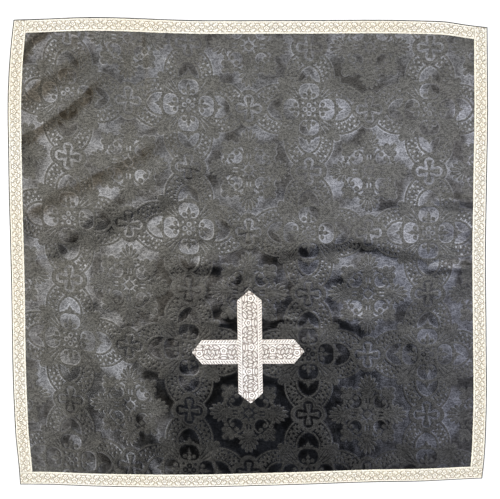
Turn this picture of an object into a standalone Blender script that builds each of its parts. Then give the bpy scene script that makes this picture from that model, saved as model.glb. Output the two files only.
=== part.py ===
# Chalice veil lying flat on a surface: a black damask panel, four strips of narrow galloon
# along its edges, and a cross of wide galloon in its lower half.
# Runs with blender --background --python part.py, or from Blender's text editor.
# Units are metres and +Z is up. The cloth's top edge lies towards +Y.
# The origin is the middle of the cloth's box, on the surface that it lies on.

from collections import namedtuple

import bpy
import numpy as np

mm = 0.001

# Driving sizes
nominalSide = 525.0 * mm        # length of one side along its edge, in the middle of the cloth
panelThickness = 1.6 * mm       # damask and its interlining
galloonThickness = 1.0 * mm
layerGap = 0.3 * mm             # between layers, and between ends that butt
galloonInset = 1.2 * mm         # black edge that shows outside the galloon
galloonWidth = 13.7 * mm

crossWidth = 27.4 * mm          # wide galloon of the cross
crossPoint = 11.0 * mm          # length of each pointed end
crossTip = 1.0 * mm             # blunt tip of each point
crossRamp = 4.0 * mm            # length over which the upright climbs on to the crossbar
crossClearance = 1.0 * mm       # the upright is fully raised this far before the crossbar's edge

Bar = namedtuple("Bar", "x y length turn")   # centre, length, degrees anticlockwise from +X
crossBar = Bar(-1.1 * mm, -108.7 * mm, 125.7 * mm, 0.5)
crossUpright = Bar(1.0 * mm, -103.3 * mm, 127.2 * mm, 90.8)

# Corners of the cloth, x and y in mm from the middle
corners = {
    "bottomLeft": (-258.9, -260.9),
    "bottomRight": (264.7, -253.9),
    "topLeft": (-259.4, 260.5),
    "topRight": (264.0, 252.3),
}

# How far each side bows outwards from the straight line between its corners.
# Columns: share of the way along the side, left to right or bottom to top; bow in mm
sideBows = {
    "bottom": ((0.0, 0.0), (0.05, 0.4), (0.17, 3.5), (0.35, 5.8), (0.60, 4.5), (0.78, 2.6),
               (0.87, 2.5), (0.95, 0.9), (1.0, 0.0)),
    "top": ((0.0, 0.0), (0.06, 1.5), (0.14, 3.8), (0.39, 2.7), (0.60, 4.5), (0.86, 6.1),
            (0.91, 5.5), (0.96, 2.0), (1.0, 0.0)),
    "left": ((0.0, 0.0), (0.03, 0.9), (0.12, 4.7), (0.19, 6.0), (0.45, 6.9), (0.70, 8.1),
             (0.86, 7.2), (0.95, 3.4), (1.0, 0.0)),
    "right": ((0.0, 0.0), (0.04, 2.0), (0.13, 3.9), (0.31, 3.1), (0.49, 1.2), (0.67, 1.4),
              (0.80, 1.8), (0.93, 0.7), (1.0, 0.0)),
}

# Soft folds: low ridges along a crest line, flat cloth between them.
# leftWidth and rightWidth are how far the ridge spreads on each side of the crest, and height
# is its rise, in mm. fadeStart and fadeEnd are the shares of the crest over which it rises
# and dies away. crest is the line itself, x and y in mm.
Fold = namedtuple("Fold", "leftWidth rightWidth height fadeStart fadeEnd crest")
folds = {
    "upperLeftOuter": Fold(22, 30, 1.5, 0.25, 0.40,
                           ((-263, 146), (-246, 157), (-222, 175), (-190, 197), (-150, 213))),
    "upperLeftInner": Fold(22, 46, 2.3, 0.15, 0.35,
                           ((-260, 108), (-242, 119), (-215, 136), (-185, 158), (-162, 184),
                            (-146, 212))),
    "longUpper": Fold(26, 56, 2.7, 0.15, 0.30,
                      ((-262, 16), (-241, 28), (-206, 50), (-155, 74), (-111, 99), (-69, 115),
                       (-18, 112))),
    "longLower": Fold(24, 14, 1.0, 0.50, 0.45,
                      ((-240, 0), (-212, 14), (-178, 29), (-147, 45), (-119, 62), (-86, 78),
                       (-50, 82), (-12, 79))),
    "rightMiddle": Fold(32, 17, 1.05, 0.30, 0.35,
                        ((-8, 4), (28, 8), (56, 11), (84, 16), (112, 20), (140, 17), (168, 10),
                         (201, 5), (236, 1), (262, -2))),
    "aboveCrossLeft": Fold(24, 13, 0.9, 0.45, 0.45, ((-104, -12), (-66, -11), (-38, -12), (-12, -14))),
    "rightOfCross": Fold(24, 15, 0.65, 0.35, 0.35,
                         ((88, -66), (104, -72), (125, -78), (146, -74), (170, -65))),
    "lowerLeft": Fold(56, 37, 2.3, 0.22, 0.25,
                      ((-232, 4), (-217, -8), (-194, -41), (-156, -84), (-121, -128), (-82, -179),
                       (-42, -218))),
    "bottomLeft": Fold(34, 28, 0.6, 0.40, 0.40, ((-246, -80), (-232, -120), (-206, -162), (-172, -206))),
    "topLeftCorner": Fold(10, 16, 0.9, 0.30, 0.30,
                          ((-256, 196), (-246, 218), (-232, 236), (-206, 250))),
    "topCrease": Fold(8, 8, 0.5, 0.30, 0.50, ((-113, 256), (-110, 216), (-108, 170), (-108, 132))),
    "rightEdgeUpper": Fold(8, 10, 0.9, 0.40, 0.30, ((196, 62), (226, 62), (262, 58))),
    "rightEdgeLower": Fold(8, 10, 0.9, 0.40, 0.30, ((196, -13), (226, -12), (262, -16))),
}


def smoothThrough(shares, knots, values):
    # Cubic curve through the knots, whose slope at each knot is that of its two neighbours.
    knots = np.asarray(knots, float)
    values = np.asarray(values, float)
    slopes = np.gradient(values, knots)
    cell = np.clip(np.searchsorted(knots, shares, side="right") - 1, 0, len(knots) - 2)
    length = knots[cell + 1] - knots[cell]
    t = (shares - knots[cell]) / length
    return (values[cell] * (1 + 2 * t) * (1 - t) ** 2
            + slopes[cell] * length * t * (1 - t) ** 2
            + values[cell + 1] * t * t * (3 - 2 * t)
            + slopes[cell + 1] * length * t * t * (t - 1))


def sidePoint(side, share):
    # Point of a side at each share: the chord between its corners, pushed outwards by its bow.
    ends = {"bottom": ("bottomLeft", "bottomRight"), "top": ("topLeft", "topRight"),
            "left": ("bottomLeft", "topLeft"), "right": ("bottomRight", "topRight")}[side]
    outwards = {"bottom": (0, -1), "top": (0, 1), "left": (-1, 0), "right": (1, 0)}[side]
    start, end = (np.array(corners[corner]) for corner in ends)
    knots, bows = zip(*sideBows[side])
    share = np.asarray(share, float)[..., None]
    bow = smoothThrough(share, knots, bows)
    return (start + (end - start) * share + np.array(outwards) * bow) * mm


def clothPlan(u, v):
    # Where the cloth's point (u, v) lies seen from above: a Coons patch between the four sides.
    u = np.asarray(u, float)
    v = np.asarray(v, float)
    corner = {name: np.array(place) * mm for name, place in corners.items()}
    across, up = u[..., None], v[..., None]
    ruled = ((1 - up) * sidePoint("bottom", u) + up * sidePoint("top", u)
             + (1 - across) * sidePoint("left", v) + across * sidePoint("right", v))
    twice = ((1 - across) * (1 - up) * corner["bottomLeft"] + across * (1 - up) * corner["bottomRight"]
             + (1 - across) * up * corner["topLeft"] + across * up * corner["topRight"])
    return ruled - twice


def smoothStep(share):
    t = np.clip(share, 0.0, 1.0)
    return t * t * (3 - 2 * t)


def crestLine(points, steps=24):
    # Smooth line through a fold's crest points, in metres.
    points = np.array(points, float) * mm
    places = np.arange(len(points))
    fine = np.linspace(0, len(points) - 1, steps + 1)
    return np.stack([smoothThrough(fine, places, points[:, axis]) for axis in (0, 1)], -1)


def ridge(x, y, fold):
    # Height of one fold: (1 - t²)² of the distance from its crest, faded towards its ends.
    line = crestLine(fold.crest)
    start, span = line[:-1], np.diff(line, axis=0)
    length = np.hypot(span[:, 0], span[:, 1])
    dx, dy = x[..., None] - start[:, 0], y[..., None] - start[:, 1]
    along = np.clip((dx * span[:, 0] + dy * span[:, 1]) / length ** 2, 0, 1)
    distance = np.hypot(dx - along * span[:, 0], dy - along * span[:, 1])
    nearest = distance.argmin(-1)[..., None]
    pick = lambda values: np.take_along_axis(values, nearest, -1)[..., 0]
    onLeft = pick(span[:, 0] * dy - span[:, 1] * dx) > 0
    width = np.where(onLeft, fold.leftWidth, fold.rightWidth) * mm
    before = np.concatenate([[0], np.cumsum(length)[:-1]])
    share = pick(before + along * length) / length.sum()
    fade = smoothStep(share / fold.fadeStart) * smoothStep((1 - share) / fold.fadeEnd)
    t = np.minimum(pick(distance) / width, 1)
    return fold.height * mm * fade * (1 - t * t) ** 2


def clothHeight(x, y):
    # Height of the cloth's underside: the tallest fold there, and 0 where the cloth lies flat.
    return np.max([ridge(x, y, fold) for fold in folds.values()], axis=0)


def gridLines(stretches):
    # Grid lines as shares of a side, from rows of (distance along the side, cells up to there).
    lines = [0.0]
    for end, cells in stretches:
        lines.extend(np.linspace(lines[-1], end, cells + 1)[1:])
    return np.array(lines) / nominalSide


innerEdge = galloonInset + galloonWidth
farInner = nominalSide - innerEdge
farOuter = nominalSide - galloonInset
# Cells are finer on the left and at the top, where most folds lie
columns = gridLines(((galloonInset, 1), (innerEdge, 2), (300 * mm, 38), (farInner, 22),
                     (farOuter, 2), (nominalSide, 1)))
rows = gridLines(((galloonInset, 1), (innerEdge, 2), (215 * mm, 12), (farInner, 38),
                  (farOuter, 2), (nominalSide, 1)))


def fabricMaterial(name, colour, roughness, metallic):
    material = bpy.data.materials.new(name)
    material.use_nodes = True
    shader = material.node_tree.nodes["Principled BSDF"]
    shader.inputs["Base Color"].default_value = (*colour, 1)
    shader.inputs["Roughness"].default_value = roughness
    shader.inputs["Metallic"].default_value = metallic
    material.diffuse_color = (*colour, 1)
    return material


def sheetObject(name, plan, underside, thickness, material):
    # A closed sheet on a grid of plan points: top, underside and rim, every cell cut in two
    # along the same diagonal, so that stacked sheets on the same grid lines stay parallel.
    wide, deep = plan.shape[:2]
    bottom = np.concatenate([plan, underside[..., None]], -1).reshape(-1, 3)
    top = bottom + np.array([0, 0, thickness])
    index = np.arange(wide * deep).reshape(wide, deep)
    a, b, c, d = index[:-1, :-1], index[1:, :-1], index[1:, 1:], index[:-1, 1:]
    above = np.concatenate([np.stack([a, b, c], -1).reshape(-1, 3),
                            np.stack([a, c, d], -1).reshape(-1, 3)])
    below = above[:, ::-1] + wide * deep
    border = np.concatenate([index[:-1, 0], index[-1, :-1], index[:0:-1, -1], index[0, :0:-1]])
    following = np.roll(border, -1)
    rim = np.concatenate([
        np.stack([border + wide * deep, following + wide * deep, following], -1),
        np.stack([border + wide * deep, following, border], -1)])
    mesh = bpy.data.meshes.new(name)
    mesh.from_pydata(np.concatenate([top, bottom]).tolist(), [],
                     np.concatenate([above, below, rim]).tolist())
    mesh.materials.append(material)
    mesh.shade_smooth()
    mesh.set_sharp_from_angle(angle=np.radians(40))
    piece = bpy.data.objects.new(name, mesh)
    bpy.context.scene.collection.objects.link(piece)
    return piece


def clothPiece(name, columnShares, rowShares, lift, thickness, material):
    # A sheet that lies on the cloth's own surface, raised by lift.
    u, v = np.meshgrid(columnShares, rowShares, indexing="ij")
    plan = clothPlan(u, v) - clothCentre
    underside = clothHeight(plan[..., 0], plan[..., 1]) + lift
    return sheetObject(name, plan, underside, thickness, material)


def between(lines, low, high):
    # The grid lines strictly inside a stretch, with the stretch's own two ends.
    inside = lines[(lines > low + 1e-4) & (lines < high - 1e-4)]
    return np.concatenate([[low], inside, [high]])


def galloonStrips(material):
    # The side strips run up to the top edge, and the bottom strip runs across under their ends.
    near = between(columns, galloonInset / nominalSide, innerEdge / nominalSide)
    far = between(columns, farInner / nominalSide, farOuter / nominalSide)
    sideRows = between(rows, (innerEdge + layerGap) / nominalSide, farOuter / nominalSide)
    topColumns = between(columns, (innerEdge + layerGap) / nominalSide,
                         (farInner - layerGap) / nominalSide)
    bottomColumns = between(columns, galloonInset / nominalSide, farOuter / nominalSide)
    strips = {
        "galloon_left": (near, sideRows),
        "galloon_right": (far, sideRows),
        "galloon_top": (topColumns, far),
        "galloon_bottom": (bottomColumns, near),
    }
    for name, (columnShares, rowShares) in strips.items():
        clothPiece(name, columnShares, rowShares, panelThickness + layerGap, galloonThickness, material)


def crossPiece(name, bar, stations, material):
    # A strap with pointed ends, from rows of (distance from its middle, rise above the cloth).
    along, rise = np.array(stations).T
    fromTip = bar.length / 2 - np.abs(along)
    half = np.clip(crossTip / 2 + (crossWidth - crossTip) / 2 * fromTip / crossPoint, 0, crossWidth / 2)
    turn = np.radians(bar.turn)
    forwards = np.array([np.cos(turn), np.sin(turn)])
    leftwards = np.array([-np.sin(turn), np.cos(turn)])
    sides = np.array([-1, 0, 1])
    plan = (np.array([bar.x, bar.y]) + along[:, None, None] * forwards
            + (half[:, None] * sides)[..., None] * leftwards)
    underside = np.repeat((panelThickness + layerGap + rise)[:, None], len(sides), axis=1)
    return sheetObject(name, plan, underside, galloonThickness, material)


def cross(material):
    ends = {bar: (-bar.length / 2, -bar.length / 2 + crossPoint, bar.length / 2 - crossPoint,
                  bar.length / 2) for bar in (crossBar, crossUpright)}
    crossPiece("cross_bar", crossBar, [(place, 0.0) for place in ends[crossBar]], material)
    crossing = crossBar.y - crossUpright.y
    raised = crossWidth / 2 + crossClearance
    step = galloonThickness + layerGap
    tipLow, shoulderLow, shoulderHigh, tipHigh = ends[crossUpright]
    crossPiece("cross_upright", crossUpright, [
        (tipLow, 0.0), (shoulderLow, 0.0),
        (crossing - raised - crossRamp, 0.0), (crossing - raised, step),
        (crossing + raised, step), (crossing + raised + crossRamp, 0.0),
        (shoulderHigh, 0.0), (tipHigh, 0.0)], material)


def middleOfCloth():
    u, v = np.meshgrid(columns, rows, indexing="ij")
    plan = clothPlan(u, v).reshape(-1, 2)
    return (plan.min(0) + plan.max(0)) / 2


for leftover in list(bpy.data.objects):
    bpy.data.objects.remove(leftover)

clothCentre = middleOfCloth()
damask = fabricMaterial("black damask", (0.010, 0.010, 0.012), 0.42, 0.0)
narrowGalloon = fabricMaterial("narrow silver galloon", (0.78, 0.75, 0.68), 0.45, 0.35)
wideGalloon = fabricMaterial("wide silver galloon", (0.74, 0.71, 0.67), 0.45, 0.35)

clothPiece("veil_panel", columns, rows, 0.0, panelThickness, damask)
galloonStrips(narrowGalloon)
cross(wideGalloon)
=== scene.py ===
from collections import namedtuple

import bpy
import numpy as np
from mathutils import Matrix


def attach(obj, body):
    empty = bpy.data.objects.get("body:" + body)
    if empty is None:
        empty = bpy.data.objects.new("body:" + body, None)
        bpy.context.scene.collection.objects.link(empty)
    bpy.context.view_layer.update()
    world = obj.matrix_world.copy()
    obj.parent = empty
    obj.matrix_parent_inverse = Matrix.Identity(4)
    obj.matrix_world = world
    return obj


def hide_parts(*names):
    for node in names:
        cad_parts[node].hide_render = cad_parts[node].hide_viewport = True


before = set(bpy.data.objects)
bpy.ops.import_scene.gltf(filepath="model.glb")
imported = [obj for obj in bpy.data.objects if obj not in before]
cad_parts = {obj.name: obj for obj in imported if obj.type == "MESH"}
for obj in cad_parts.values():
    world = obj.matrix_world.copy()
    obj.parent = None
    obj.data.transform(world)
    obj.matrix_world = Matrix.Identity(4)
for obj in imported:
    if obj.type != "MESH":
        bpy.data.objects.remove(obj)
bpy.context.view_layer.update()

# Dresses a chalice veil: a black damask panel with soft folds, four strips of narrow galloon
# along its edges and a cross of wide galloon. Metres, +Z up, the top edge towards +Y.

mm = 0.001
print("frame loaded:", ", ".join(sorted(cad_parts)))


# Camera, lights and floor
cameraPlace = {
    "target": (0.0010, 0.00665, 0.0025),
    "distance": 1.40,
    "tilt": 4.0,         # degrees from straight down, seen from the top edge's side
    "lens": 90.2,
    "sensor": 36.0,
    "clipStart": 0.05,
}
studio = {
    "height": 1.80,
    "panelPower": 4.0,   # watts for each unit of radiance and square metre
    # Soft panels overhead: low x, high x, low y, high y, radiance, colour
    "panels": {
        "farLeft": (-1.05, -0.47, -0.09, 0.30, 3.4, (1.04, 1.0, 0.92)),
        "mainLeft": (-0.47, -0.20, -0.09, 0.24, 4.9, (1.02, 1.0, 0.95)),
        "mainMiddle": (-0.20, 0.14, -0.09, 0.24, 3.0, (1.0, 1.0, 0.99)),
        "mainRight": (0.14, 0.40, -0.09, 0.22, 4.6, (0.99, 1.0, 1.05)),
        "farRight": (0.40, 0.95, -0.09, 0.26, 4.2, (0.99, 1.0, 1.05)),
        "topLeft": (-0.62, -0.47, 0.30, 0.42, 3.2, (1.06, 1.0, 0.88)),
        "corner": (-1.05, -0.47, 0.42, 0.95, 1.35, (1.17, 1.0, 0.72)),
        "cornerLow": (-1.05, -0.62, 0.30, 0.42, 2.0, (1.12, 1.0, 0.80)),
        "top": (-0.47, 0.95, 0.24, 0.95, 2.8, (1.0, 1.0, 0.99)),
        "leftNearMain": (-0.50, -0.20, -0.26, -0.09, 3.8, (1.03, 1.0, 0.92)),
        "leftUpperOuter": (-1.05, -0.50, -0.26, -0.09, 2.6, (1.04, 1.0, 0.91)),
        "leftInner": (-0.41, -0.26, -0.36, -0.26, 2.2, (1.04, 1.0, 0.91)),
        "leftDimUpper": (-0.53, -0.41, -0.36, -0.26, 1.1, (1.10, 1.0, 0.80)),
        "leftMiddle": (-0.60, -0.53, -0.54, -0.26, 2.2, (1.04, 1.0, 0.90)),
        "leftLowerEdge": (-0.60, -0.53, -0.62, -0.54, 2.4, (1.04, 1.0, 0.92)),
        "leftOuter": (-1.05, -0.60, -0.36, -0.26, 3.6, (1.03, 1.0, 0.93)),
        "leftFar": (-1.05, -0.60, -1.00, -0.36, 4.6, (1.0, 1.0, 0.99)),
        "leftDim": (-0.53, -0.28, -0.62, -0.36, 0.7, (1.06, 1.0, 0.84)),
        "leftBottom": (-0.60, -0.34, -1.00, -0.62, 3.1, (1.0, 1.0, 1.0)),
        "warmMiddle": (-0.20, -0.04, -0.26, -0.09, 1.5, (1.14, 1.0, 0.76)),
        "coolMiddle": (-0.04, 0.22, -0.23, -0.09, 1.4, (0.97, 1.0, 1.12)),
        "rightUpper": (0.22, 0.95, -0.30, -0.09, 2.0, (0.975, 1.0, 1.13)),
        "rightDim": (0.30, 0.43, -0.52, -0.30, 0.4, (0.975, 1.0, 1.13)),
        "rightOuter": (0.43, 0.95, -0.56, -0.30, 2.3, (0.975, 1.0, 1.13)),
        "rightBottom": (0.42, 0.95, -1.00, -0.56, 1.5, (0.975, 1.0, 1.13)),
    },
    "dome": 0.16,
    "glow": 4.70,        # pale band low round the horizon
    "glowFull": 0.252,   # sine of the height up to which the band is full
    "glowTop": 0.42,     # sine of the height at which it ends
    "warm": (1.03, 1.0, 0.95, 1.0),
    "cool": (0.985, 1.0, 1.03, 1.0),
    "sky": (0.93, 1.0, 1.17, 1.0),
    "floorHalf": 6.0,
    "floorLevel": -0.05 * mm,
    "floorGrain": 900.0,
    "floorDark": (0.93, 0.93, 0.93, 1.0),
    "floorLight": (0.96, 0.96, 0.96, 1.0),
}


def makeCamera():
    tilt = np.radians(cameraPlace["tilt"])
    camera = bpy.data.objects.new("photoCamera", bpy.data.cameras.new("photoCamera"))
    x, y, z = cameraPlace["target"]
    reach = cameraPlace["distance"]
    camera.location = (x, y + reach * np.sin(tilt), z + reach * np.cos(tilt))
    camera.rotation_euler = (-tilt, 0.0, 0.0)
    camera.data.lens = cameraPlace["lens"]
    camera.data.sensor_width = cameraPlace["sensor"]
    camera.data.clip_start = cameraPlace["clipStart"]
    bpy.context.scene.collection.objects.link(camera)
    bpy.context.scene.camera = camera


def softPanel(name, lowX, highX, lowY, highY, radiance, colour):
    light = bpy.data.lights.new(name + "Panel", "AREA")
    light.shape = "RECTANGLE"
    light.size, light.size_y = highX - lowX, highY - lowY
    light.energy = radiance * studio["panelPower"] * light.size * light.size_y
    light.color = colour
    panel = bpy.data.objects.new(name + "Panel", light)
    panel.location = ((lowX + highX) / 2, (lowY + highY) / 2, studio["height"])
    panel.visible_camera = False
    bpy.context.scene.collection.objects.link(panel)


class Wire:
    # One socket in a node tree. Arithmetic on it adds Math nodes.
    def __init__(self, tree, socket=None):
        self.tree = tree
        self.socket = socket

    def node(self, kind, settings=None, sockets=None, output=0):
        # Any node: its settings first, then a value or a link for each of its sockets.
        made = self.tree.nodes.new("ShaderNode" + kind)
        for name, value in (settings or {}).items():
            setattr(made, name, value)
        for name, value in (sockets or {}).items():
            if isinstance(value, Wire):
                self.tree.links.new(value.socket, made.inputs[name])
            else:
                made.inputs[name].default_value = value
        return Wire(self.tree, made.outputs[output])

    def sibling(self, output):
        # Another output of the same node
        return Wire(self.tree, self.socket.node.outputs[output])

    def ranged(self, low, high, start=0.0, end=1.0, how="LINEAR"):
        # Its span from low to high, stretched over start to end and held beyond them
        return self.node("MapRange", {"interpolation_type": how},
                         {0: self, 1: low, 2: high, 3: start, 4: end})

    def mixed(self, first, second, how="MIX"):
        # The first colour where it is 0, the second where it is 1
        return self.node("MixRGB", {"blend_type": how}, {0: self, 1: first, 2: second})

    def noise(self, scale, detail, **more):
        # Noise at the place that it holds
        return self.node("TexNoise", sockets={"Vector": self, "Scale": scale, "Detail": detail, **more})

    def maths(self, operation, *values):
        return self.node("Math", {"operation": operation}, dict(enumerate(values)))

    def __add__(self, other):
        return self.maths("ADD", self, other)

    def __sub__(self, other):
        return self.maths("SUBTRACT", self, other)

    def __rsub__(self, other):
        return self.maths("SUBTRACT", other, self)

    def __mul__(self, other):
        return self.maths("MULTIPLY", self, other)

    def __neg__(self):
        return self.maths("MULTIPLY", self, -1.0)

    __radd__ = __add__
    __rmul__ = __mul__


def shaded(colour, factor=1.0):
    # The colour made darker or lighter, with its alpha
    return (*[value * factor for value in colour], 1.0)


def makeWorld():
    # Dim all round, with a pale band low above the horizon that lights the floor.
    world = bpy.data.worlds.new("studioWorld")
    bpy.context.scene.world = world
    world.use_nodes = True
    start = Wire(world.node_tree)
    direction = start.node("TexCoord", output="Generated")
    height = start.node("SeparateXYZ", sockets={0: direction}, output="Z")
    low = height.ranged(studio["glowFull"], studio["glowTop"], 1.0, 0.0, "SMOOTHSTEP")
    background = world.node_tree.nodes["Background"]
    band = (height.sibling("X") * 0.5 + 0.5).mixed(studio["warm"], studio["cool"])
    tone = low.mixed(studio["sky"], band)
    world.node_tree.links.new(tone.socket, background.inputs["Color"])
    strength = low * studio["glow"] + studio["dome"]
    world.node_tree.links.new(strength.socket, background.inputs["Strength"])


def newMaterial(name):
    # A material, its shader, and a Wire to start expressions from.
    material = bpy.data.materials.new(name)
    material.use_nodes = True
    shader = material.node_tree.nodes["Principled BSDF"]
    return material, shader, Wire(material.node_tree)


def feed(shader, name, wire):
    shader.id_data.links.new(wire.socket, shader.inputs[name])


def embossed(height):
    # Light and shade of a relief in metres
    return height.node("Bump", sockets={"Strength": 1.0, "Distance": 1.0, "Height": height},
                       output="Normal")


def makeFloor():
    half, level = studio["floorHalf"], studio["floorLevel"]
    mesh = bpy.data.meshes.new("paleFloor")
    mesh.from_pydata([(-half, -half, level), (half, -half, level), (half, half, level),
                      (-half, half, level)], [], [(0, 1, 2, 3)])
    material, shader, start = newMaterial("pale floor")
    place = start.node("TexCoord", output="Object")
    grain = place.noise(studio["floorGrain"], 2.0)
    feed(shader, "Base Color", grain.mixed(studio["floorDark"], studio["floorLight"]))
    shader.inputs["Roughness"].default_value = 0.9
    shader.inputs["Specular IOR Level"].default_value = 0.1
    mesh.materials.append(material)
    floor = bpy.data.objects.new("paleFloor", mesh)
    bpy.context.scene.collection.objects.link(floor)


makeCamera()
for panelName, panelValues in studio["panels"].items():
    softPanel(panelName, *panelValues)
makeWorld()
makeFloor()
bpy.context.scene.view_settings.view_transform = "Standard"
print("studio ready")


# The cloth's shape, shared by every piece
cloth = {
    "side": 525.0 * mm,
    "thickness": 1.6 * mm,
    "hemRound": 1.4 * mm,            # how far in from the edge the hem is rounded
    "hemGrid": (0.0, 0.25, 0.7, 1.4, 2.4),   # grid lines over the hem, mm from the edge
    "galloonInset": 1.2 * mm,
    "galloonWidth": 13.7 * mm,
    "galloonGap": 0.3 * mm,
}

corners = {
    "bottomLeft": (-258.9, -260.9),
    "bottomRight": (264.7, -253.9),
    "topLeft": (-259.4, 260.5),
    "topRight": (264.0, 252.3),
}

# Outward bow of each side, in mm, at shares of its length
sideBows = {
    "bottom": ((0.0, 0.0), (0.05, 0.4), (0.17, 3.5), (0.35, 5.8), (0.60, 4.5), (0.78, 2.6),
               (0.87, 2.5), (0.95, 0.9), (1.0, 0.0)),
    "top": ((0.0, 0.0), (0.06, 1.5), (0.14, 3.8), (0.39, 2.7), (0.60, 4.5), (0.86, 6.1),
            (0.91, 5.5), (0.96, 2.0), (1.0, 0.0)),
    "left": ((0.0, 0.0), (0.03, 0.9), (0.12, 4.7), (0.19, 6.0), (0.45, 6.9), (0.70, 8.1),
             (0.86, 7.2), (0.95, 3.4), (1.0, 0.0)),
    "right": ((0.0, 0.0), (0.04, 2.0), (0.13, 3.9), (0.31, 3.1), (0.49, 1.2), (0.67, 1.4),
              (0.80, 1.8), (0.93, 0.7), (1.0, 0.0)),
}

# Soft folds: widths to the left and right of the crest and height in mm, shares of the
# crest over which the fold rises and dies away, and the crest's points in mm
Fold = namedtuple("Fold", "leftWidth rightWidth height fadeStart fadeEnd crest")
folds = {
    "upperLeftOuter": Fold(22, 30, 1.5, 0.25, 0.40,
                           ((-263, 146), (-246, 157), (-222, 175), (-190, 197), (-150, 213))),
    "upperLeftInner": Fold(22, 46, 2.3, 0.15, 0.35,
                           ((-260, 108), (-242, 119), (-215, 136), (-185, 158), (-162, 184),
                            (-146, 212))),
    "longUpper": Fold(26, 56, 2.7, 0.15, 0.30,
                      ((-262, 16), (-241, 28), (-206, 50), (-155, 74), (-111, 99), (-69, 115),
                       (-18, 112))),
    "longLower": Fold(24, 14, 1.0, 0.50, 0.45,
                      ((-240, 0), (-212, 14), (-178, 29), (-147, 45), (-119, 62), (-86, 78),
                       (-50, 82), (-12, 79))),
    "rightMiddle": Fold(32, 17, 1.05, 0.30, 0.35,
                        ((-8, 4), (28, 8), (56, 11), (84, 16), (112, 20), (140, 17), (168, 10),
                         (201, 5), (236, 1), (262, -2))),
    "aboveCrossLeft": Fold(24, 13, 0.9, 0.45, 0.45, ((-104, -12), (-66, -11), (-38, -12), (-12, -14))),
    "rightOfCross": Fold(24, 15, 0.65, 0.35, 0.35,
                         ((88, -66), (104, -72), (125, -78), (146, -74), (170, -65))),
    "lowerLeft": Fold(56, 37, 2.3, 0.22, 0.25,
                      ((-232, 4), (-217, -8), (-194, -41), (-156, -84), (-121, -128), (-82, -179),
                       (-42, -218))),
    "bottomLeft": Fold(34, 28, 0.6, 0.40, 0.40, ((-246, -80), (-232, -120), (-206, -162), (-172, -206))),
    "topLeftCorner": Fold(10, 16, 0.9, 0.30, 0.30,
                          ((-256, 196), (-246, 218), (-232, 236), (-206, 250))),
    "topCrease": Fold(8, 8, 0.5, 0.30, 0.50, ((-113, 256), (-110, 216), (-108, 170), (-108, 132))),
    "rightEdgeUpper": Fold(8, 10, 0.9, 0.40, 0.30, ((196, 62), (226, 62), (262, 58))),
    "rightEdgeLower": Fold(8, 10, 0.9, 0.40, 0.30, ((196, -13), (226, -12), (262, -16))),
}

# Small puckers that sewing and folding left, added on top of the folds
puckers = {
    "rightEdgeA": Fold(4, 5, 0.28, 0.40, 0.30, ((208, 56), (226, 54), (248, 50))),
    "rightEdgeB": Fold(4, 4, 0.26, 0.40, 0.30, ((214, 12), (230, 9), (250, 5))),
    "rightEdgeC": Fold(4, 4, 0.24, 0.30, 0.30, ((204, 2), (226, 0), (250, -2))),
    "rightEdgeD": Fold(4, 4, 0.24, 0.30, 0.30, ((204, -5), (226, -6), (250, -9))),
    "rightEdgeE": Fold(4, 5, 0.26, 0.40, 0.30, ((200, -18), (224, -16), (248, -13))),
    "leftEdgeA": Fold(5, 5, 0.24, 0.30, 0.60, ((-256, 68), (-240, 70), (-214, 76))),
    "leftEdgeB": Fold(5, 5, 0.24, 0.30, 0.60, ((-256, -2), (-236, 0), (-206, 4))),
    "leftEdgeC": Fold(5, 5, 0.22, 0.30, 0.60, ((-256, -18), (-238, -14), (-210, -8))),
    "topEdgeA": Fold(5, 5, 0.22, 0.30, 0.60, ((-116, 250), (-114, 236), (-113, 214))),
    "topEdgeB": Fold(6, 6, 0.20, 0.30, 0.60, ((-192, 252), (-188, 238), (-182, 220))),
    "besideCrossLeft": Fold(5, 4, 0.20, 0.40, 0.30, ((-60, -72), (-40, -76), (-17, -80))),
    "besideCrossRight": Fold(4, 5, 0.20, 0.30, 0.40, ((18, -76), (42, -72), (66, -74))),
}


def smoothThrough(shares, knots, values):
    # Cubic curve through the knots, whose slope at each knot is that of its two neighbours.
    knots = np.asarray(knots, float)
    values = np.asarray(values, float)
    slopes = np.gradient(values, knots)
    cell = np.clip(np.searchsorted(knots, shares, side="right") - 1, 0, len(knots) - 2)
    span = knots[cell + 1] - knots[cell]
    t = (shares - knots[cell]) / span
    return (values[cell] * (1 + 2 * t) * (1 - t) ** 2
            + slopes[cell] * span * t * (1 - t) ** 2
            + values[cell + 1] * t * t * (3 - 2 * t)
            + slopes[cell + 1] * span * t * t * (t - 1))


def sidePoint(side, share):
    # Point of a side at each share: the chord between its corners, pushed outwards by its bow.
    ends = {"bottom": ("bottomLeft", "bottomRight"), "top": ("topLeft", "topRight"),
            "left": ("bottomLeft", "topLeft"), "right": ("bottomRight", "topRight")}[side]
    outwards = {"bottom": (0, -1), "top": (0, 1), "left": (-1, 0), "right": (1, 0)}[side]
    start, end = (np.array(corners[corner]) for corner in ends)
    knots, bows = zip(*sideBows[side])
    share = np.asarray(share, float)[..., None]
    bow = smoothThrough(share, knots, bows)
    return (start + (end - start) * share + np.array(outwards) * bow) * mm


def clothPlan(u, v):
    # Where the cloth's point (u, v) lies seen from above: a Coons patch between the four sides,
    # the two ruled surfaces added and the one through the corners taken off.
    corner = {name: np.array(place) * mm for name, place in corners.items()}
    across, up = u[..., None], v[..., None]
    ruled = ((1 - up) * sidePoint("bottom", u) + up * sidePoint("top", u)
             + (1 - across) * sidePoint("left", v) + across * sidePoint("right", v))
    twice = ((1 - across) * (1 - up) * corner["bottomLeft"] + across * (1 - up) * corner["bottomRight"]
             + (1 - across) * up * corner["topLeft"] + across * up * corner["topRight"])
    return ruled - twice


def smoothStep(share):
    t = np.clip(share, 0.0, 1.0)
    return t * t * (3 - 2 * t)


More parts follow.
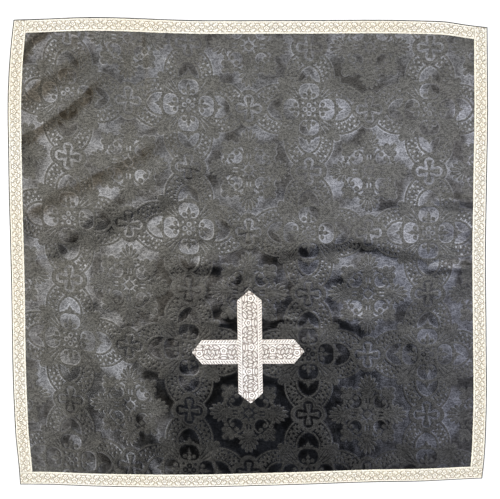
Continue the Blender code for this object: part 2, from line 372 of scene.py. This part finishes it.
def crestLine(points, steps=24):
    # Smooth line through a fold's crest points, in metres.
    points = np.array(points, float) * mm
    places = np.arange(len(points))
    fine = np.linspace(0, len(points) - 1, steps + 1)
    return np.stack([smoothThrough(fine, places, points[:, axis]) for axis in (0, 1)], -1)


def ridge(x, y, fold):
    # Height of one fold: (1 - t²)² of the distance from its crest, faded towards its ends.
    # Only the points near the crest are worked out.
    crest = crestLine(fold.crest)
    reach = max(fold.leftWidth, fold.rightWidth) * mm
    lowX, lowY = crest.min(0) - reach
    highX, highY = crest.max(0) + reach
    near = (x > lowX) & (x < highX) & (y > lowY) & (y < highY)
    height = np.zeros(x.shape)
    start, span = crest[:-1], np.diff(crest, axis=0)
    spanLength = np.hypot(span[:, 0], span[:, 1])
    dx, dy = x[near][:, None] - start[:, 0], y[near][:, None] - start[:, 1]
    along = np.clip((dx * span[:, 0] + dy * span[:, 1]) / spanLength ** 2, 0, 1)
    distance = np.hypot(dx - along * span[:, 0], dy - along * span[:, 1])
    nearest = distance.argmin(-1)[:, None]
    pick = lambda values: np.take_along_axis(values, nearest, -1)[:, 0]
    onLeft = pick(span[:, 0] * dy - span[:, 1] * dx) > 0
    width = np.where(onLeft, fold.leftWidth, fold.rightWidth) * mm
    before = np.concatenate([[0], np.cumsum(spanLength)[:-1]])
    share = pick(before + along * spanLength) / spanLength.sum()
    fade = smoothStep(share / fold.fadeStart) * smoothStep((1 - share) / fold.fadeEnd)
    t = np.minimum(pick(distance) / width, 1)
    height[near] = fold.height * mm * fade * (1 - t * t) ** 2
    return height


# Slow waves that keep the flat cloth from being dead flat: height in mm, wavelengths in mm,
# direction in degrees, phase
waves = ((0.22, 96.0, 78.0, 0.4), (0.16, 61.0, 118.0, 2.1), (0.12, 47.0, 65.0, 4.0),
         (0.08, 34.0, 97.0, 1.2), (0.05, 21.0, 135.0, 5.1))


def clothHeight(x, y):
    # Height of the cloth's underside: the folds, blended as the fourth root of the sum of their
    # fourth powers, with the puckers and slow waves added.
    height = np.sum([ridge(x, y, fold) ** 4 for fold in folds.values()], axis=0) ** 0.25
    height += np.sum([ridge(x, y, pucker) for pucker in puckers.values()], axis=0)
    for rise, wavelength, direction, phase in waves:
        turn = np.radians(direction)
        travel = (x * np.cos(turn) + y * np.sin(turn)) / (wavelength * mm)
        height += rise * mm * (0.5 + 0.5 * np.sin(2 * np.pi * travel + phase))
    return height


def middleOfCloth():
    edge = np.linspace(0.0, 1.0, 201)
    u, v = np.meshgrid(edge, edge, indexing="ij")
    plan = clothPlan(u, v).reshape(-1, 2)
    return (plan.min(0) + plan.max(0)) / 2


clothCentre = middleOfCloth()
rimShare = 0.35      # of a sheet's thickness, left at its very edge


def shoulder(distance, reach):
    # Share of the full thickness at a distance from the edge: it grows as a quarter circle.
    fromEdge = np.clip(distance / reach, 0, 1)
    return rimShare + (1 - rimShare) * np.sqrt(1 - (1 - fromEdge) ** 2)


def sheetMesh(name, top, bottom, maps, coarse=1):
    # A closed sheet: the top's grid of points, every coarse-th grid line of the bottom's grid,
    # and a rim of one polygon for each edge cell of the bottom.
    under = bottom[::coarse, ::coarse]
    count = top.shape[0] * top.shape[1]
    index = np.arange(count).reshape(top.shape[:2])
    low = count + np.arange(under.shape[0] * under.shape[1]).reshape(under.shape[:2])
    cells = lambda grid: np.stack([grid[:-1, :-1], grid[1:, :-1], grid[1:, 1:], grid[:-1, 1:]],
                                  -1).reshape(-1, 4)
    faces = cells(index).tolist() + cells(low)[:, ::-1].tolist()
    edges = ((index[:, 0], low[:, 0]), (index[-1], low[-1]), (index[::-1, -1], low[::-1, -1]),
             (index[0, ::-1], low[0, ::-1]))
    for above, below in edges:
        for cell in range(len(below) - 1):
            rim = above[cell * coarse:(cell + 1) * coarse + 1][::-1]
            faces.append([*rim.tolist(), int(below[cell]), int(below[cell + 1])])
    points = np.concatenate([top.reshape(-1, 3), under.reshape(-1, 3)])
    mesh = bpy.data.meshes.new(name)
    mesh.from_pydata(points.tolist(), [], faces)
    corner = np.empty(len(mesh.loops), dtype=np.int64)
    mesh.loops.foreach_get("vertex_index", corner)
    for mapName, grid in maps.items():
        flat = np.concatenate([grid.reshape(-1, 2), grid[::coarse, ::coarse].reshape(-1, 2)])
        layer = mesh.uv_layers.new(name=mapName)
        layer.data.foreach_set("uv", flat[corner].ravel().astype(np.float32))
    mesh.shade_smooth()
    mesh.validate()
    piece = bpy.data.objects.new(name, mesh)
    bpy.context.scene.collection.objects.link(piece)
    return piece


# Drawing with distances, on sockets and on arrays alike
def twoWay(operation, onArrays):
    # A function that adds a Math node when given a socket, and works on arrays otherwise.
    def run(*values):
        wires = [value for value in values if isinstance(value, Wire)]
        return wires[0].maths(operation, *values) if wires else onArrays(*values)
    return run


root = twoWay("SQRT", np.sqrt)
lower = twoWay("MINIMUM", np.minimum)
higher = twoWay("MAXIMUM", np.maximum)
size = twoWay("ABSOLUTE", np.abs)
wave = twoWay("COSINE", np.cos)
rounded = twoWay("ROUND", np.round)
bearing = twoWay("ARCTAN2", np.arctan2)


def length(a, b):
    return root(a * a + b * b)


def disc(a, b, x, y, radius):
    # Distance outside a round spot
    return length(a - x, b - y) - radius


def inside(first, *others):
    # Where all the shapes overlap
    for other in others:
        first = higher(first, other)
    return first


def either(first, *others):
    # Where any of the shapes is
    for other in others:
        first = lower(first, other)
    return first


def line(distance, middle, half):
    # A line of that half width, at that distance from a shape's edge
    return size(distance - middle) - half


def inked(distance, edge):
    # 1 inside the shape and 0 outside, over a soft edge
    return lower(higher(0.5 - distance * (0.5 / edge), 0.0), 1.0)


def folded(value, period=1.0):
    # Distance from the nearest whole period
    return size(value - rounded(value * (1.0 / period)) * period)


# Black damask panel
damask = {
    "repeat": (133.8 * mm, 136.9 * mm),       # width and height of the pattern's repeat
    "place": (66.6 * mm, 25.4 * mm),          # middle of one medallion
    "skew": (66.0 * mm, 266.0 * mm, 17.0 * mm, 1.8),   # the weave climbs towards the left edge
    "cells": 288,
    "underCells": 3,
    # Colours of the reflection, since the ground is all sheen and most of the figure is. The ground's
    # dull and bright colours are painted shade and painted sheen, laid in broad patches
    "paintedShadeGround": (0.0187, 0.0180, 0.0172),
    "paintedSheenGround": (0.0545, 0.0552, 0.0586),
    "figureColour": (0.0413, 0.0405, 0.0379),
    "figureMetal": 0.80,
    "edgeTint": (0.42, 0.42, 0.42, 1.0),          # keeps the sheen low when seen from the side
    # Painted sheen of single threads: the colour is darkened and lightened in fine flecks
    "groundThreadSheen": (0.60, 1.47),      # darkest and lightest fleck, in shares of the colour
    "figureThreadSheen": (0.62, 1.44),
    # Painted highlight: bright colour added along the step beside the figure
    "paintedRimHighlight": 0.5,                  # how much more the step beside the figure reflects
    "groundRoughness": 0.105,
    "figureRoughness": 0.27,
    "figureRise": 0.07 * mm,
    "crinkle": 0.052 * mm,
    "grain": 0.018 * mm,
    "drape": 1.5 * mm,         # rise and fall of the broad uneven patches
    "tintScale": 38.0,         # noise scales
    "crinkleScale": 320.0,
    "grainScale": 860.0,
    "patchScale": 19.0,
    "drapeScale": 26.0,
    "figureThreads": (0.62 * mm, 0.004 * mm),    # spacing and rise of the threads
    "groundThreads": (0.45 * mm, 0.003 * mm),
}
diagonal = 0.7071    # cosine of half a right angle


def quatrefoil(n, q):
    # Four-lobed frame with a flared cross in it
    k, l = higher(n, q), lower(n, q)
    hollow = either(disc(k, l, 0.070, 0.0, 0.043), k - 0.043)
    rim = line(hollow, 0.018, 0.018)
    arm = inside(l - k * 0.20 - 0.006, k - 0.088)
    return either(rim, arm), hollow - 0.034


def vesica(p, q, clear):
    # Pointed oval of two lines with a leafy band between them
    outer = disc(p, q, 0.26, -0.036, 0.239)
    inner = disc(p, q, 0.235, -0.030, 0.120)
    lines = either(line(outer, -0.008, 0.008), line(inner, 0.008, 0.008))
    along = bearing(p - 0.25, q + 0.033)
    across = length(p - 0.25, q + 0.033) - 0.180
    gaps = wave(along * 24.0) * wave(across * 105.0)
    lumps = size(wave(along * 24.0 + across * 30.0)) * 0.009
    band = inside(size(across) - 0.031 - lumps, (gaps - 0.42) * 0.014)
    return inside(either(lines, band), clear, -inner, 0.19 - p), inner


def medallion(p, q, s, t, inner, clear):
    # Four windows with a lily in each, crowns above them and a leaf on each diagonal
    dx = higher(size(p - 0.146) - 0.004, 0.0)
    dy = higher(q - 0.026, 0.0)
    window = length(dx, dy) - 0.060
    lily = either(disc(p, q, 0.104, 0.0, 0.019), disc(p, q, 0.113, 0.038, 0.017),
                  (q * 60.0 + size(p - 0.138) * 27.0 - 1.0) * 0.012, inside(q - 0.009, p - 0.11))
    shield = inside(inner, 0.224 + q * 0.12 - p)
    crown = either(disc(p, q, 0.232, 0.0, 0.022), disc(p, q, 0.231, 0.030, 0.013),
                   (q * 60.0 + size(p - 0.25) * 34.0 - 1.0) * 0.012)
    eyes = line(length(p - 0.034, q), 0.015, 0.0065)
    dots = disc(p, q, 0.050, 0.050, 0.011)
    veins = either(inside(t - 0.0032, 0.140 - s, s - 0.235),
                   inside(line(t - (s - 0.15) * 0.22, 0.020, 0.0030), 0.150 - s, s - 0.245))
    body = disc(p, q, 0.0, 0.0, 0.232)
    spread = s - 0.245
    blade = inside(t - 0.060 + spread * spread * 3.6 + size(wave(s * 88.0)) * 0.011,
                   0.12 - s, s - 0.352)
    figure = inside(either(body, blade), -window, -shield, -eyes, -dots, -veins, clear)
    return either(figure, inside(lily, window), inside(crown, shield))


def snowflake(m, n, s, t):
    # Four palmettes on stems round a rosette, with a scroll and a leaf on each diagonal
    dm, dn = m - 0.200, n * 1.25
    turn, out = bearing(dn, dm), length(dm, dn)
    lobes = size(wave(turn * 7.5 - np.pi / 2))
    reach = lobes * 0.036 - turn * 0.020 + 0.100
    fan = inside(out - reach, n - 0.046 - higher(m - 0.170, 0.0) * 1.2, 0.140 - m)
    ribs = inside(lobes * out * 0.133 - 0.0026, 0.040 - out, 0.190 - m)
    slots = inside(line(n, 0.014, 0.006), line(m, 0.114, 0.021))
    stem = inside(n - 0.040, m - 0.16, 0.07 - m, -slots)
    r = length(m, n)
    ray = size(wave(bearing(n, m) * 4.0 - np.pi / 2)) * r * 0.25
    hollow = either(line(r, 0.036, 0.009), inside(ray - 0.0055, r - 0.074))
    rosette = either(inside(r - 0.086, -hollow), (m + n) * 0.8 - 0.030)
    scroll = inside(line(disc(s, t, 0.146, 0.0, 0.0), 0.0605, 0.0080), s - 0.185, 0.080 - r)
    bulbs = disc(s, t, 0.170, 0.026, 0.019)
    blade = either(disc(s, t, 0.232, 0.0, 0.042), disc(s, t, 0.284, 0.0, 0.027),
                   disc(s, t, 0.247, 0.040, 0.025), disc(s, t, 0.208, 0.060, 0.020),
                   disc(s, t, 0.194, 0.082, 0.012))
    seams = either(inside(line(t, 0.020, 0.0028), 0.262 - s),
                   inside(line(s, 0.195, 0.0035), t - 0.028))
    return either(inside(fan, -ribs), stem, rosette, scroll, inside(either(bulbs, blade), -seams))


def damaskFigure(u, v):
    # Distance outside the matt figure, in repeats. The pattern is the same after a quarter turn
    # and in each half quarter, so it is drawn once, on coordinates folded into that wedge.
    a, b = folded(u), folded(v)
    p, q = higher(a, b), lower(a, b)
    m, n = 0.5 - q, 0.5 - p
    s, t = (p + q) * diagonal, (p - q) * diagonal
    frameShape, frameEdge = quatrefoil(n, q)
    oval, inner = vesica(p, q, -frameEdge)
    roundel = medallion(p, q, s, t, inner, -frameEdge)
    return either(frameShape, oval, roundel, snowflake(m, n, (m + n) * diagonal, t))


def damaskMaterial():
    material, shader, start = newMaterial("black damask")
    u = start.node("SeparateXYZ", sockets={0: start.node("UVMap", {"uv_map": "weave"})})
    v = u.sibling("Y")
    place = start.node("TexCoord", output="Object")
    distance = damaskFigure(u, v)
    tint = place.noise(damask["tintScale"], 4.0)
    # Short lines of ground show inside the figure, one along its edges and one farther in
    slits = either(line(distance, -0.0150, 0.0022), line(distance, -0.0290, 0.0020))
    figure = inked(distance, 0.003) - inked(slits, 0.0024) * tint.ranged(0.47, 0.57, 0.0, 0.5)
    raised = inked(distance, 0.008)
    # Broken lines a few mm long run across the cloth, and a finer grain lies over them
    drawn = start.node("Mapping", sockets={"Vector": place, "Scale": (1.0, 1.8, 1.0)})
    crinkle = drawn.noise(damask["crinkleScale"], 3.0, Roughness=0.6)
    grain = place.noise(damask["grainScale"], 1.0)
    # These two noises also paint the sheen and shade of single threads into the colour, besides raising
    # them in the relief
    paintedThreadSheen = (crinkle * 0.55 + grain * 0.45).ranged(0.41, 0.59)
    # Painted sheen: broad patches where the ground's colour turns from its painted dull shade to its
    # painted bright reflection
    paintedSheenPatches = place.noise(damask["patchScale"], 4.0, Distortion=0.7).ranged(0.39, 0.60, how="SMOOTHSTEP")
    # Painted highlight: a thin line beside the figure's edge gets the bright ground colour added, as if
    # the step caught the light
    rim = inked(line(distance, 0.0060, 0.0032), 0.0025) * tint.ranged(0.40, 0.58, 0.1, damask["paintedRimHighlight"])
    shades = {}
    for part, threadSheenKey in (("paintedShadeGround", "groundThreadSheen"), ("paintedSheenGround", "groundThreadSheen"),
                         ("figureColour", "figureThreadSheen")):
        dark, light = damask[threadSheenKey]
        shades[part] = paintedThreadSheen.mixed(shaded(damask[part], dark), shaded(damask[part], light))
    # The ground colour is painted shade and painted sheen, mixed by the patches
    ground = paintedSheenPatches.mixed(shades["paintedShadeGround"], shades["paintedSheenGround"])
    whole = figure.mixed(ground, shades["figureColour"])
    feed(shader, "Base Color", rim.mixed(whole, shaded(damask["paintedSheenGround"]), "ADD"))
    feed(shader, "Metallic", 1.0 - figure * (1.0 - damask["figureMetal"]))
    shader.inputs["Specular Tint"].default_value = damask["edgeTint"]
    shader.inputs["Specular IOR Level"].default_value = 0.0
    rise = damask["figureRoughness"] - damask["groundRoughness"]
    feed(shader, "Roughness", figure * rise + damask["groundRoughness"] + (tint - 0.5) * 0.05)
    acrossPitch, acrossRise = damask["figureThreads"]
    upPitch, upRise = damask["groundThreads"]
    threadsAcross = wave(v * (2 * np.pi * damask["repeat"][1] / acrossPitch))
    threadsUp = wave(u * (2 * np.pi * damask["repeat"][0] / upPitch))
    drape = place.noise(damask["drapeScale"], 2.0, Roughness=0.45)
    height = (raised * damask["figureRise"] + crinkle * damask["crinkle"] + grain * damask["grain"]
              + drape * damask["drape"]
              + threadsUp * (1.0 - figure) * upRise + threadsAcross * figure * acrossRise)
    feed(shader, "Normal", embossed(height))
    return material


def gridShares(cells):
    # Grid lines as shares of a side, closer together over the rounded edge of the hem.
    edge = np.array(cloth["hemGrid"]) * mm / cloth["side"]
    middle = np.linspace(edge[-1], 1 - edge[-1], cells - 2 * (len(edge) - 1) + 1)
    return np.concatenate([edge[:-1], middle, 1 - edge[-2::-1]])


def makePanel():
    # The cloth's own folds with a slab's thickness, whose faces close in on each other at the hem.
    shares = gridShares(damask["cells"])
    u, v = np.meshgrid(shares, shares, indexing="ij")
    plan = clothPlan(u, v) - clothCentre
    x, y = plan[..., 0], plan[..., 1]
    height = clothHeight(x, y)
    toEdge = np.minimum(np.minimum(u, 1 - u), np.minimum(v, 1 - v)) * cloth["side"]
    half = cloth["thickness"] / 2 * shoulder(toEdge, cloth["hemRound"])
    middle = height + cloth["thickness"] / 2
    top = np.stack([x, y, middle + half], -1)
    bottom = np.stack([x, y, middle - half], -1)
    startX, reach, drop, power = damask["skew"]
    skew = drop * np.clip((startX - x) / reach, 0, None) ** power
    weave = np.stack([(x - damask["place"][0]) / damask["repeat"][0],
                      (y - skew - damask["place"][1]) / damask["repeat"][1]], -1)
    panel = sheetMesh("damaskPanel", top, bottom, {"weave": weave}, damask["underCells"])
    panel.data.materials.append(damaskMaterial())
    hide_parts("veil_panel")
    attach(panel, "root")


makePanel()
print("damask panel done")


# Narrow galloon along the edges
narrow = {
    "thickness": 0.75 * mm,
    "lift": 0.08 * mm,
    "relief": 0.20 * mm,
    "period": 20.4,          # mm along the strip
    "cell": 0.50 * mm,
    "acrossCells": 30,
    "edgeGrid": (0.0, 0.12, 0.35, 0.62),   # grid lines over the rounded edge, mm
    "selvedgeFrom": 6.35,    # mm from the middle
    "white": (0.86, 0.84, 0.785),
    "ground": (0.30, 0.255, 0.17),
    "edge": (0.92, 0.88, 0.74),
}
# The weave that both galloons share
weaving = {
    "ribs": 0.56,            # spacings, mm
    "hatch": 1.1,
    "tintScale": 330.0,      # noise scales
    "shadowScale": 620.0,
    "ageScale": 9.0,
    "ribRise": 0.03 * mm,
    "hatchRise": 0.05 * mm,
    "unevenRise": 0.04 * mm,
    "threadRise": 0.10 * mm,
    "agedTone": (1.0, 0.975, 0.92, 1.0),
    # Lightest and darkest share of each colour
    "shades": {"ground": (1.35, 0.50), "white": (1.0, 0.66), "edge": (1.0, 0.55)},
}
# Stitches that pull the selvedge down: distance from the edge, half width, spacing and depth
stitches = {"inset": 0.9 * mm, "half": 0.4 * mm, "spacing": 3.6 * mm, "depth": 0.12 * mm}
selvedgeRound = 0.6 * mm


def turned(x, y, degrees):
    # The same point in axes turned by that angle
    cosine, sine = np.cos(np.radians(degrees)), np.sin(np.radians(degrees))
    return x * cosine + y * sine, y * cosine - x * sine


def leaf(x, y, placeX, placeY, degrees, halfLong, halfWide):
    # A long round-ended leaf with a vein: the distance of an oval, scaled to its short side.
    alongLeaf, acrossLeaf = turned(x - placeX, y - placeY, degrees)
    oval = (length(alongLeaf * (halfWide / halfLong), acrossLeaf) - halfWide) * 0.8
    vein = inside(size(acrossLeaf) - halfWide * 0.13, oval + halfWide * 0.35)
    return inside(oval, -vein), oval


def withLeaves(field, gap, *leaves):
    # Leaves over a patterned field, each with a thin dark gap round it
    for shape, oval in leaves:
        field = either(shape, inside(field, gap - oval))
    return field


def alternating(a, c, period):
    # Folds the strap's length into half periods, with the sides swapped in every other one.
    bends = rounded(a * (2.0 / period))
    return a - bends * (period / 2), c * wave(bends * np.pi)


def narrowFigure(a, c):
    # A chain of ringed rosettes and slanting ribs with leaves over them, between two fine lines.
    # Values in mm; the distance is negative on the raised white thread.
    across = size(c)
    x, y = alternating(a, c, narrow["period"])
    r = length(x, y + 1.3)
    rings = inside(-0.15 - wave(r * (2 * np.pi / 2.1)) * 0.38, r - 3.55)
    ribs = inside(-0.20 - wave((size(x) * 0.9 + y * 0.8) * (2 * np.pi / 2.25)) * 0.40, 3.9 - r)
    field = withLeaves(either(rings, ribs), 0.50,
                       leaf(size(x), y, 3.9, 3.0, 38.0, 2.4, 1.05),
                       leaf(size(x), y, 4.5, -4.0, -35.0, 2.1, 0.95),
                       leaf(x, y, 0.0, 4.6, 0.0, 1.7, 0.85))
    field = inside(field, across - 5.15, 0.85 - length(size(x) - 5.1, y - 0.6))
    return either(field, line(across, 5.85, 0.36)), across


def galloonMaterial(name, values, figureOf):
    material, shader, start = newMaterial(name)
    weave = start.node("SeparateXYZ", sockets={0: start.node("UVMap", {"uv_map": "weave"})})
    a, c = weave * (1 / mm), weave.sibling("Y") * (1 / mm)
    distance, across = figureOf(a, c)
    thread = inked(distance, 0.14)
    selvedge = inked(values["selvedgeFrom"] - across, 0.12)
    place = start.node("TexCoord", output="Object")
    tint = place.noise(weaving["tintScale"], 2.0)
    ribs = wave(a * (2 * np.pi / weaving["ribs"])) * 0.5 + 0.5
    hatch = wave((a + across * 0.8) * (2 * np.pi / weaving["hatch"])) * 0.5 + 0.5
    shadow = place.noise(weaving["shadowScale"], 1.0).ranged(0.42, 0.60)
    worn = tint.ranged(0.50, 0.66, 0.0, 0.8)
    tones = {}
    for part, darkening in (("ground", shadow * 0.8 + ribs * 0.2),
                            ("white", lower(worn + hatch * 0.10, 1.0)),
                            ("edge", hatch * 0.5 + shadow * 0.5)):
        light, dark = weaving["shades"][part]
        tones[part] = darkening.mixed(shaded(values[part], light), shaded(values[part], dark))
    whole = selvedge.mixed(thread.mixed(tones["ground"], tones["white"]), tones["edge"])
    age = place.noise(weaving["ageScale"], 1.0).ranged(0.35, 0.65)
    feed(shader, "Base Color", age.mixed(whole, weaving["agedTone"], "MULTIPLY"))
    feed(shader, "Roughness", 0.50 - thread * 0.10 + tint * 0.1)
    height = (ribs * (1.0 - thread) * weaving["ribRise"] + hatch * thread * weaving["hatchRise"]
              + tint * weaving["unevenRise"] + inked(distance, 0.4) * weaving["threadRise"])
    feed(shader, "Normal", embossed(height))
    return material


def galloonThickness(values, a, c, halfWidth, figure):
    # Thickness over a strap at distance c from its middle: full over most of the width and rounded
    # off at the edge, with the figure's thread standing up and a small dip at each stitch.
    toEdge = halfWidth - np.abs(c)
    dips = np.exp(-((stitches["inset"] - toEdge) / stitches["half"]) ** 2)
    dips *= np.clip(np.cos(2 * np.pi * a / stitches["spacing"]), 0, 1) ** 2
    raised = inked(figure, 0.35) * values["relief"] * (toEdge > 0.99 * selvedgeRound)
    return values["thickness"] * shoulder(toEdge, selvedgeRound) + raised - stitches["depth"] * dips


def makeStrip(name, node, lowU, highU, lowV, highV, upwards, material):
    # Narrow galloon laid on the cloth between two columns and two rows, in metres from its left
    # and bottom sides. upwards says whether its length runs up the cloth.
    long = (highV - lowV) if upwards else (highU - lowU)
    wide = (highU - lowU) if upwards else (highV - lowV)
    alongLines = np.linspace(0, long, int(long / narrow["cell"]) + 1)
    edge = np.array(narrow["edgeGrid"]) * mm
    middle = np.linspace(edge[-1], wide - edge[-1], narrow["acrossCells"] + 1)
    acrossLines = np.concatenate([edge[:-1], middle, wide - edge[-2::-1]])
    if upwards:
        c, a = np.meshgrid(acrossLines, alongLines, indexing="ij")
        u, v = lowU + c, lowV + a
    else:
        a, c = np.meshgrid(alongLines, acrossLines, indexing="ij")
        u, v = lowU + a, lowV + c
    plan = clothPlan(u / cloth["side"], v / cloth["side"]) - clothCentre
    x, y = plan[..., 0], plan[..., 1]
    c = c - wide / 2
    distance, _ = narrowFigure(a / mm, c / mm)
    base = clothHeight(x, y) + cloth["thickness"] + narrow["lift"]
    top = np.stack([x, y, base + galloonThickness(narrow, a, c, wide / 2, distance)], -1)
    bottom = np.stack([x, y, base], -1)
    strip = sheetMesh(name, top, bottom, {"weave": np.stack([a, c], -1)})
    strip.data.materials.append(material)
    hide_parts(node)
    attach(strip, "root")


def makeStrips():
    material = galloonMaterial("narrow galloon", narrow, narrowFigure)
    near = cloth["galloonInset"]
    inner = near + cloth["galloonWidth"]
    far = cloth["side"] - near
    farInner = cloth["side"] - inner
    gap = cloth["galloonGap"]
    makeStrip("galloonLeft", "galloon_left", near, inner, inner + gap, far, True, material)
    makeStrip("galloonRight", "galloon_right", farInner, far, inner + gap, far, True, material)
    makeStrip("galloonTop", "galloon_top", inner + gap, farInner - gap, farInner, far, False, material)
    makeStrip("galloonBottom", "galloon_bottom", near, far, near, inner, False, material)


makeStrips()
print("narrow galloon done")


# Wide galloon of the cross
wide = {
    "width": 27.4 * mm,
    "point": 11.0 * mm,
    "tip": 1.0 * mm,
    "ramp": 4.0 * mm,
    "clearance": 1.0 * mm,
    "step": 1.3 * mm,
    "slant": 0.62,           # how much nearer a point's slanted edge is than its tip
    "thickness": 0.80 * mm,
    "lift": 0.08 * mm,
    "relief": 0.24 * mm,
    "period": 55.0,          # mm along the strap
    "cell": 0.45 * mm,
    "edgeGrid": (0.0, 0.010, 0.028, 0.046),   # grid lines over the rounded edge, shares of half the width
    "selvedgeFrom": 13.25,   # mm from the middle
    "white": (0.785, 0.76, 0.735),
    "ground": (0.21, 0.175, 0.155),
    "edge": (0.80, 0.72, 0.68),
}
Strap = namedtuple("Strap", "x y length turn")   # middle, length, degrees anticlockwise from +X
crossBar = Strap(-1.1 * mm, -108.7 * mm, 125.7 * mm, 0.5)
crossUpright = Strap(1.0 * mm, -103.3 * mm, 127.2 * mm, 90.8)


def wideFigure(a, c):
    # Rope borders and a fine line inside each; between them ringed rosettes with slanting ribs
    # and scrolling leaves. Values in mm, negative on the raised white thread.
    across = size(c)
    rope = inside(line(across, 11.8, 1.45), -0.22 - wave((a - across * 0.8) * (2 * np.pi / 3.1)) * 0.60)
    x, y = alternating(a, c, wide["period"])
    # The rings are scalloped with five petals
    r = length(x * 0.92, y + 1.4) * (wave(bearing(x, y + 1.4) * 5.0) * 0.09 + 1.0)
    rings = inside(-0.18 - wave(r * (2 * np.pi / 2.7)) * 0.50, r - 6.2)
    arcs = inside(-0.15 - wave((length(size(x) - 13.75, y - 3.0) + 0.4) * (2 * np.pi / 2.8)) * 0.52,
                  6.4 - r, size(x) - 10.2)
    ribs = inside(-0.16 - wave((x + y * 0.95) * (2 * np.pi / 3.4)) * 0.55, 10.6 - size(x))
    field = withLeaves(either(rings, arcs, ribs), 0.72,
                       leaf(size(x), y, 7.6, 4.9, 34.0, 3.5, 1.45),
                       leaf(size(x), y, 8.3, -5.6, -30.0, 3.3, 1.35),
                       leaf(size(x), y, 7.3, 0.3, 78.0, 2.2, 1.05),
                       leaf(x, y, 0.0, 6.7, 0.0, 3.0, 1.20),
                       leaf(size(x), y, 11.3, 0.2, -62.0, 2.6, 1.10))
    return either(rope, line(across, 9.55, 0.60), inside(field, across - 8.45)), across


def makeStrap(name, node, strap, stations, material):
    # A strap with pointed ends: its half width grows from the tip over the length of the point,
    # and it rises above the cloth as the stations say, from rows of (distance from middle, rise).
    places, rises = np.array(stations).T
    along = np.linspace(-strap.length / 2, strap.length / 2, int(strap.length / wide["cell"]) + 1)
    edge = np.array(wide["edgeGrid"])
    middle = np.linspace(edge[-1], 2 - edge[-1], int(wide["width"] / wide["cell"]) + 1)
    share = np.concatenate([edge[:-1], middle, 2 - edge[-2::-1]]) - 1
    fromTip = strap.length / 2 - np.abs(along)
    half = np.clip(wide["tip"] / 2 + (wide["width"] - wide["tip"]) / 2 * fromTip / wide["point"],
                   0, wide["width"] / 2)
    a, c = np.repeat(along[:, None], len(share), 1), half[:, None] * share
    turn = np.radians(strap.turn)
    x = strap.x + a * np.cos(turn) - c * np.sin(turn)
    y = strap.y + a * np.sin(turn) + c * np.cos(turn)
    rise = np.interp(a, places, rises)
    distance, _ = wideFigure(a / mm, c / mm)
    base = clothHeight(x, y) + cloth["thickness"] + wide["lift"] + rise
    # At the points the turned-under end is the edge, so the rounding follows the nearer of the two
    toEdge = np.minimum(half[:, None] - np.abs(c), fromTip[:, None] * wide["slant"])
    body = galloonThickness(wide, a, wide["width"] / 2 - toEdge, wide["width"] / 2, distance)
    top = np.stack([x, y, base + body], -1)
    bottom = np.stack([x, y, base], -1)
    piece = sheetMesh(name, top, bottom, {"weave": np.stack([a, c], -1)})
    piece.data.materials.append(material)
    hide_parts(node)
    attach(piece, "root")


def makeCross():
    material = galloonMaterial("wide galloon", wide, wideFigure)
    makeStrap("crossBar", "cross_bar", crossBar,
              [(-crossBar.length / 2, 0.0), (crossBar.length / 2, 0.0)], material)
    crossing = crossBar.y - crossUpright.y
    raised = wide["width"] / 2 + wide["clearance"]
    tip = crossUpright.length / 2
    ramp = wide["ramp"]
    makeStrap("crossUpright", "cross_upright", crossUpright,
              [(-tip, 0.0), (crossing - raised - ramp, 0.0), (crossing - raised, wide["step"]),
               (crossing + raised, wide["step"]), (crossing + raised + ramp, 0.0), (tip, 0.0)],
              material)


makeCross()
print("cross done")
